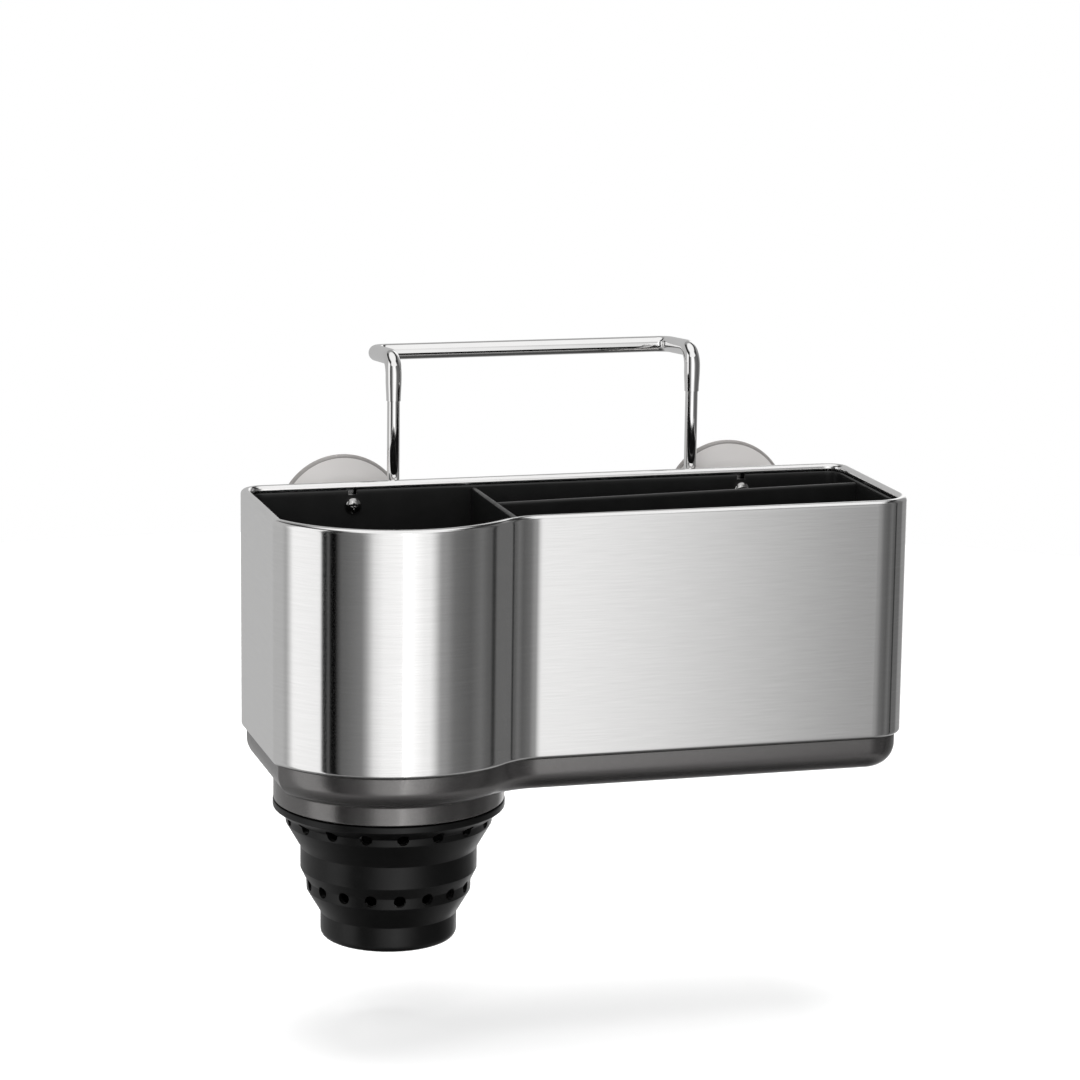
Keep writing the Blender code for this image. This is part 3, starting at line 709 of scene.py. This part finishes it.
def cupUpper():
    c, wall = cup, cup["wall"]
    outer = [
        (c["cuff"], c["cuffTop"]), (c["cuff"], c["lipTop"]),
        (c["lip"], c["lipTop"]), (c["lip"], c["lipBottom"]),
        (c["band"] + c["draft"], c["bandTop"]), (c["band"] - c["draft"], c["bandBottom"]),
        (c["ring"], c["ringTop"]), (c["ring"], c["split"]),
    ]
    inner = [
        (c["ring"] - wall, c["split"]), (c["ring"] - wall, c["ringTop"] + c["thinner"]),
        (c["band"] - wall, c["bandBottom"] + c["thinner"]), (c["band"] - wall, c["bandTop"]),
        (c["cuffInner"], c["lipBottom"]), (c["cuffInner"], c["cuffTop"]),
    ]
    outer = softened(outer, c["upperSoft"], steps=4)
    inner = softened(inner, c["upperInnerSoft"], steps=3)
    item = cupHalf("cupUpper", outer + inner, ring=True)
    row = holeRow(c["bandTop"] - c["rowDrop"], c["band"] - wall - 2 * past, c["lip"] + 2 * past)
    carve(item, (row, "DIFFERENCE"))
    settle(item, None, ["cup_flange", "cup_upper_web"], crease=28)
    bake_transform(item)


def cupLower():
    c, wall = cup, cup["wall"]
    outer = [
        (c["ring"], c["split"]), (c["ring"], c["ringEdge"]),
        (c["lowBand"] + c["draft"], c["lowBandTop"]), (c["lowBand"] - c["draft"], c["ringBottom"]),
        (c["base"], c["baseTop"]), (c["base"], c["bottom"]), (c["base"] - c["under"], c["bottom"]),
    ]
    inner = [
        (c["ring"] - wall, c["split"]), (c["ring"] - wall, c["ringEdge"]),
        (c["lowBand"] - wall, c["lowBandTop"]), (c["lowBand"] - wall, c["ringBottom"] + c["thinner"]),
        (c["base"] - wall, c["baseTop"] + c["thinner"]), (c["base"] - wall, c["bottom"] + wall),
        (c["base"] - c["floor"], c["bottom"] + wall),
    ]
    outer = softened(outer, c["lowerSoft"], steps=5)
    inner = softened(inner, c["lowerInnerSoft"], steps=3)
    item = cupHalf("cupLower", inner[::-1] + outer, ring=False)
    rowZ = c["lowBandTop"] - c["lowRowDrop"]
    row = holeRow(rowZ, c["lowBand"] - wall - 2 * past, c["ring"] + 2 * past)
    spots = [(0, 0)] + circlePoints(c["floorRing"], c["floorHoles"])
    drains = floorRods(spots, c["holeRadius"], c["bottom"] - past, c["bottom"] + wall + past)
    carve(item, (row, "DIFFERENCE"), (moved(together(drains), *bay), "DIFFERENCE"))
    settle(item, None, ["cup_middle_ring", "cup_lower_web", "cup_base"], crease=28)
    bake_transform(item)


cupUpper()
cupLower()
print("folding cup made")


# Hanger

hanger = {
    "x": 51.76, "y": 4.2, "rod": 2.12, "tube": 2.7, "tubeEnd": 2.42, "sleeve": 25.5, "top": 39.9,
    "arm": 28.2, "fall": 2.35, "legBend": 5.5, "rearBend": 4.2, "socket": 8.0, "rodLow": -64.0,
    "slack": 0.08, "endSoft": 0.12, "endLoop": 0.07,
    "swage": [(1.5, 0.1), (3.0, 0.35), (4.5, 0.68), (6.0, 0.92), (7.5, 1.0)],  # height, share of growth
    "rodTip": 0.4, "rodSoft": 0.5,
}


def bentLine(corners, radii, count):
    # A line through the corners, with each inner corner bent to its radius
    path = [corners[0]]
    for before, corner, after, radius in zip(corners, corners[1:], corners[2:], radii):
        into = (before - corner).normalized()
        out = (after - corner).normalized()
        angle = into.angle(out)
        reach = radius / math.tan(angle / 2)
        middle = corner + (into + out).normalized() * radius / math.sin(angle / 2)
        start = corner + into * reach - middle
        axis = start.cross(corner + out * reach - middle)
        for i in range(count + 1):
            path.append(middle + Quaternion(axis, (math.pi - angle) * i / count) @ start)
    path.append(corners[-1])
    return path


def swept(path, radii, segments):
    # A round bar along a path, with its own radius at each point
    loops = []
    last = (path[1] - path[0]).normalized()
    side = Vector((1, 0, 0))
    for i, point in enumerate(path):
        into = (point - path[max(i - 1, 0)]).normalized()
        out = (path[min(i + 1, len(path) - 1)] - point).normalized()
        along = (into + out).normalized()
        side = last.rotation_difference(along) @ side
        last = along
        up = along.cross(side)
        loops.append([tuple(point + side * x + up * y) for x, y in circlePoints(radii[i], segments)])
    return loft(loops)


def hangerTube():
    h = hanger
    x, y, low, top = h["x"], h["y"], h["sleeve"], h["top"]
    corners = [Vector((-x, y, low)), Vector((-x, y, top)), Vector((-x, y + h["arm"], top - h["fall"]))]
    corners += [Vector((-v.x, v.y, v.z)) for v in reversed(corners)]
    path = bentLine(corners, (h["legBend"], h["rearBend"], h["rearBend"], h["legBend"]), 18)
    growth = h["tube"] - h["tubeEnd"]
    swage = [(0.0, h["tubeEnd"] - h["endSoft"]), (h["endLoop"], h["tubeEnd"])]
    swage += [(rise, h["tubeEnd"] + growth * share) for rise, share in h["swage"]]
    heights = [Vector((0, 0, rise)) for rise, radius in swage]
    sizes = [radius for rise, radius in swage]
    line = [path[0] + v for v in heights] + path[1:-1] + [path[-1] + v for v in heights[::-1]]
    radii = sizes + [h["tube"]] * (len(path) - 2) + sizes[::-1]
    item = made("hangerTube", swept(line, radii, facets["bar"]), steelBright)
    legs, bore = [(-x, y), (x, y)], h["rod"] + h["slack"]
    sockets = floorRods(legs, bore, low - past, low + h["socket"], facets["boss"])
    carve(item, (together(sockets), "DIFFERENCE"))
    settle(item, "hanger", ["hanger_tube"], crease=50)


def hangerRods():
    h = hanger
    low, high = h["rodLow"], h["sleeve"] + h["socket"] - gap
    line = softened([(h["rodTip"], low), (h["rod"], low), (h["rod"], high)], h["rodSoft"], steps=4)
    for side, word in ((-1, "Left"), (1, "Right")):
        mesh = moved(turned(line, facets["bar"]), side * h["x"], h["y"])
        item = made("hangerRod" + word, mesh, steelBright)
        settle(item, "hanger", ["hanger_rod_" + word.lower()], crease=50)


hangerTube()
hangerRods()
print("hanger made")


# Suction cups, whose places are in the dictionary at the top

bell = {
    "radius": 21.8, "lip": 2.3, "edge": 1.1, "thin": 0.05,
    "knob": 4.8, "knobFrom": 0.6, "knobTo": 2.6, "neck": 3.0, "hub": 8.0, "hubFrom": 6.5,
    # Radius, and distance in front of the sealing plane
    "back": [(8.4, 3.6), (15.0, 2.6)],
    "hollow": [(14.5, 0.95), (8.5, 1.7), (1.0, 2.0)],
    # The same, but with the distance in from the rim for the radius
    "rim": [(1.1, 1.4), (0.6, 1.3), (0, 0.6), (0, 0), (2.3, 0)],
    "soft": [0, 0.2, 0.1, 0.3, 0.5, 1.2, 6, 0, 0.5, 0.3, 0.2, 0.5, 4, 4, 0],
}


def suctionCups():
    b = bell
    radius, plane = b["radius"], suction["plane"]
    profile = [
        (b["knob"], b["knobFrom"]), (b["knob"], b["knobTo"]),
        (b["neck"], b["knobTo"]), (b["neck"], b["hubFrom"]), (b["hub"], b["hubFrom"]),
    ]
    profile += [(x, plane - depth) for x, depth in b["back"]]
    profile += [(radius - inward, plane - depth) for inward, depth in b["rim"]]
    profile += [(x, plane - depth) for x, depth in b["hollow"]]
    profile = softened(profile, b["soft"], steps=5)
    for side, word in ((-1, "Left"), (1, "Right")):
        x, z = side * suction["x"], suction["z"]
        mesh = moved(turned(profile, facets["disc"]), x, 0, z, topBack)
        # The faces near the rim, off the sealing plane, take the second, dark grey finish: painted
        # shade on the rubber's thin edge
        for face in mesh.faces:
            spot = face.calc_center_median()
            outer = math.hypot(spot.x - x, spot.z - z) > radius - b["edge"]
            if outer and spot.y < plane - b["thin"]:
                face.material_index = 1
        item = made("suctionCup" + word, mesh, rubberClear, rubberLip)
        settle(item, "caddy", ["suction_cup_" + word.lower()], crease=40)


suctionCups()
print("suction cups made")


# Screws

screws = {
    "shank": 1.5, "head": 2.7, "headSoft": 0.12, "tip": 0.4, "tipLong": 1.0,
    "dome": [(0.3, 0.0), (1.2, 0.06), (2.0, 0.28), (2.5, 0.62), (2.7, 1.05)],  # radius, drop
    "recessLong": 1.45, "recessWide": 0.32, "recessDeep": 1.1, "recessTaper": 0.6,
    "seat": 0.1, "wallLength": 9.3, "wallHead": 1.9, "baseLength": 6.8, "baseHead": 1.2,
}


def panScrew(length, rise):
    # Domed head above zero, shank below
    s = screws
    head, shank = s["head"], s["shank"]
    line = [(radius, rise - drop) for radius, drop in s["dome"]]
    line += [(head, s["headSoft"]), (head - s["headSoft"], 0)]
    line += [(shank, 0), (shank, s["tipLong"] - length), (s["tip"], -length)]
    return turned(line, facets["bar"])


def crossRecess(rise):
    # Two bars that get narrower towards their lower ends
    s = screws
    low, high, taper = rise - s["recessDeep"], rise + past, s["recessTaper"]
    bars = []
    for wide, long in ((s["recessWide"], s["recessLong"]), (s["recessLong"], s["recessWide"])):
        top = [(wide, long), (-wide, long), (-wide, -long), (wide, -long)]
        bottom = [(x * taper, y * taper, low) for x, y in top]
        bars.append(loft([bottom, [(x, y, high) for x, y in top]]))
    return bars


def putScrew(name, node, length, rise, place, turn):
    item = made(name, moved(panScrew(length, rise), *place, turn), steelScrew)
    carve(item, *[(moved(bar, *place, turn), "DIFFERENCE") for bar in crossRecess(rise)])
    settle(item, "caddy", [node], crease=40)


def wallSeat(z):
    # How far in front of the back wall's outer face a screw's head sits, on the liner's sloping wall
    t = liner
    lean = (t["foot"] - t["topInset"]) * (t["top"] - z) / (t["top"] - turnZ)
    return t["topInset"] + lean + t["wall"] + screws["seat"]


def allScrews():
    s = screws
    words = [(side, step) for side in ("Left", "Right") for step in ("Top", "Low")]
    for (side, step), (x, z) in zip(words, screwSpots()):
        node = "bracket_screw_" + side.lower() + "_" + step.lower()
        name = "wallScrew" + side + step
        putScrew(name, node, s["wallLength"], s["wallHead"], (x, -wallSeat(z), z), topForward)
    seat = tray["bottom"] + tray["recessDepth"] - s["seat"]
    words = [(side, step) for side in ("Left", "Right") for step in ("Back", "Front")]
    for (side, step), (x, y) in zip(words, baseScrewSpots):
        node = "base_screw_" + side.lower() + "_" + step.lower()
        name = "baseScrew" + side + step
        putScrew(name, node, s["baseLength"], s["baseHead"], (x, y, seat), topDown)


allScrews()
print("screws made")


# CAD pieces that keep their own shape

kept = {
    plasticBlack: ["bracket_left", "bracket_right", "rod_stop_left", "rod_stop_right"],
    plasticGrey: ["rod_bush_left", "rod_bush_right"],
}
for material, names in kept.items():
    for name in names:
        nodes[name].data.materials.clear()
        nodes[name].data.materials.append(material)
print("kept pieces painted")


# Studio: pale floor and backdrop, soft lamps, and a ring of panels that only reflections see

studio = {
    "floorZ": -157.0 * mm,
    "floorRadius": 0.75,
    "floorColor": (0.86, 0.86, 0.86, 1),
    "floorGlow": 0.37,
    "ringRadius": 1.5,
    "ringHeight": 2.4,
    "ringFacets": 180,
    "brightest": 2.3,
    "fill": 0.62,
    # What reflections see above and below the ring, from 0 for straight down to 1 for straight up
    "overhead": [(0.9, 0.0), (0.94, 1.0)],
    "below": [(0.2, 1.0), (0.3, 0.0)],
    # Reflections don't see the floor, so the ground band stands in for it; it is darkest straight down,
    # a painted shadow of the object on the floor
    "ground": [(0.03, 0.06), (0.14, 0.36)],
}
white = (1, 1, 1, 1)
# Turn in degrees from straight ahead (minus is the viewer's left), then the panel's brightness
leftPanels = [
    (-180, 0.5), (-104, 0.48), (-100, 0.38), (-97, 0.62), (-93, 1.02), (-70, 0.97), (-67.9, 0.93),
    (-66.6, 0), (-63.6, 0), (-62, 0.1), (-61.2, 0.1), (-60, 0), (-56, 0), (-54, 0.06), (-51.5, 0.12),
    (-47, 0.14), (-36, 0.21), (-32, 0.4), (-27, 0.8), (-20, 1.0), (-9, 1.06), (-5.6, 1.07),
    (-4.6, 1.5), (-4, 2.3), (-1.2, 2.3), (-0.4, 1.4), (0, 1.3),
]
rightPanels = [
    (0, 1.3), (3, 1.18), (7, 1.08), (11, 0.98), (15, 0.95), (17.6, 0.8), (20, 0.62), (22.3, 0.43),
    (23.6, 0.34), (25, 0.31), (27, 0.3), (30, 0.26), (33, 0.2), (36, 0.16), (43, 0.13), (50, 0.11),
    (60, 0.165), (68, 0.11), (70.8, 0.115), (72.2, 0.03), (75.4, 0.03), (76.8, 0.14), (96, 0.14),
    (99, 0.22), (103, 0.28), (127, 0.3), (136, 0.9), (142, 1.1), (152, 1.1), (160, 0.5), (180, 0.5),
]
# The same for what lies all round above the ring
canopy = [
    (-180, 0.34), (-155, 0.3), (-140, 0.03), (-62, 0.03), (-42, 1.0), (45, 1.0), (60, 0.03),
    (140, 0.03), (155, 0.3), (180, 0.34),
]
lamps = {
    "topLamp": {"place": (0.1, 0.25, 1.6), "size": 1.3, "power": 19},
    "leftLamp": {"place": (-0.6, -1.5, 1.1), "size": 1.2, "power": 9},
}
lampAim = Vector((0, 0, -0.05))


def stageObject(name, mesh, material):
    data = bpy.data.meshes.new(name)
    mesh.to_mesh(data)
    mesh.free()
    data.materials.append(material)
    item = bpy.data.objects.new(name, data)
    bpy.context.scene.collection.objects.link(item)
    return item


def turnOf(board, coordinate):
    # Where a direction or place lies round the object, from 0 to 1, with 0.5 straight ahead, and its z
    parts = board.add("ShaderNodeSeparateXYZ", None, {0: coordinate})
    x, y, z = (Signal(board, output) for output in parts.socket.node.outputs)
    return x.math("ARCTAN2", y * -1.0) / (2 * math.pi) + 0.5, z


def panelRing():
    # A colour ramp holds 32 stops at most, so each half turn has its own
    material = bpy.data.materials.new("studioPanels")
    board = Board(material)
    turn = turnOf(board, board.add("ShaderNodeTexCoord", output=3))[0]
    top = studio["brightest"]
    left = board.ramp(turn * 2, [(1 + place / 180, level / top) for place, level in leftPanels])
    right = board.ramp(turn * 2 - 1, [(place / 180, level / top) for place, level in rightPanels])
    rightHalf = turn.math("GREATER_THAN", 0.5)
    levels = left * (1 - rightHalf) + right * rightHalf
    glow = board.add("ShaderNodeEmission", None, {"Color": white, "Strength": levels * top})
    board.add("ShaderNodeOutputMaterial", None, {"Surface": glow})
    mesh = bmesh.new()
    half, count = studio["ringHeight"] / 2, studio["ringFacets"]
    circle = circlePoints(studio["ringRadius"], count)
    low, high = ([mesh.verts.new((x, y, z)) for x, y in circle] for z in (-half, half))
    for i in range(count):
        k = (i + 1) % count
        mesh.faces.new((low[i], high[i], high[k], low[k]))
    item = stageObject("studioPanels", mesh, material)
    item.visible_camera = False
    item.visible_diffuse = False
    item.visible_shadow = False
    item.visible_transmission = False


def paleFloor():
    # It glows for the camera alone, so that it fades into the backdrop
    material = bpy.data.materials.new("paleFloor")
    board = Board(material)
    seen = board.add("ShaderNodeLightPath", output=0)
    pale = board.add("ShaderNodeBsdfDiffuse", None, {"Color": studio["floorColor"]})
    strength = seen * studio["floorGlow"]
    glow = board.add("ShaderNodeEmission", None, {"Color": white, "Strength": strength})
    surface = board.add("ShaderNodeAddShader", None, {0: pale, 1: glow})
    board.add("ShaderNodeOutputMaterial", None, {"Surface": surface})
    mesh = bmesh.new()
    circle = circlePoints(studio["floorRadius"], facets["disc"])
    mesh.faces.new([mesh.verts.new((x, y, studio["floorZ"])) for x, y in circle])
    floor = stageObject("paleFloor", mesh, material)
    floor.visible_glossy = False


def softLamp(name, place, size, power):
    data = bpy.data.lights.new(name, "AREA")
    data.shape = "DISK"
    data.size = size
    data.energy = power
    lamp = bpy.data.objects.new(name, data)
    bpy.context.scene.collection.objects.link(lamp)
    lamp.location = place
    lamp.rotation_euler = (lampAim - Vector(place)).to_track_quat("-Z", "Y").to_euler()
    lamp.visible_glossy = False


def backdropWorld():
    # White to the camera, a soft fill for diffuse light, and a studio's levels in reflections
    world = bpy.data.worlds.new("studioAir")
    bpy.context.scene.world = world
    board = Board(world)
    outputs = board.add("ShaderNodeLightPath").socket.node.outputs
    kinds = ("Camera", "Glossy", "Transmission")
    camera, glossy, through = (Signal(board, outputs["Is " + kind + " Ray"]) for kind in kinds)
    turn, z = turnOf(board, board.add("ShaderNodeTexCoord", output=0))
    height = z * 0.5 + 0.5
    sides = board.ramp(turn, [(0.5 + place / 360, level) for place, level in canopy])
    bands = ("overhead", "below", "ground")
    overhead, below, ground = (board.ramp(height, studio[band]) for band in bands)
    above = sides * (1 - overhead) + overhead
    mirrored = above * (1 - below) + below * ground
    plain = camera.math("MAXIMUM", through)
    level = glossy * mirrored + (1 - glossy) * (plain * (1 - studio["fill"]) + studio["fill"])
    air = board.add("ShaderNodeBackground", None, {"Color": white, "Strength": level})
    board.add("ShaderNodeOutputWorld", None, {"Surface": air})


# Fitted to the photograph: place in millimetres, angles in degrees, focal length and frame in pixels
lens = {
    "place": (-335.23, -1159.99, 222.77), "turn": 16.025, "down": 11.498, "roll": 0.742,
    "focal": 3671.9, "frame": 1080, "sensor": 36.0, "nearest": 0.01,
}


def photoCamera():
    a, e, r = (math.radians(lens[key]) for key in ("turn", "down", "roll"))
    right = Vector((math.cos(a), -math.sin(a), 0))
    ahead = Vector((math.sin(a) * math.cos(e), math.cos(a) * math.cos(e), -math.sin(e)))
    up = right.cross(ahead)
    sideways = right * math.cos(r) + up * math.sin(r)
    upward = up * math.cos(r) - right * math.sin(r)
    data = bpy.data.cameras.new("photoCamera")
    data.sensor_width = lens["sensor"]
    data.lens = lens["focal"] / lens["frame"] * data.sensor_width
    data.clip_start = lens["nearest"]
    camera = bpy.data.objects.new("photoCamera", data)
    bpy.context.scene.collection.objects.link(camera)
    turn = Matrix((sideways, upward, -ahead)).transposed()
    camera.matrix_world = Matrix.Translation(inRow(*lens["place"])) @ turn.to_4x4()
    bpy.context.scene.camera = camera


panelRing()
paleFloor()
backdropWorld()
for name, lamp in lamps.items():
    softLamp(name, lamp["place"], lamp["size"], lamp["power"])
photoCamera()
bpy.context.scene.view_settings.view_transform = "Standard"
print("studio ready")

bpy.context.view_layer.update()
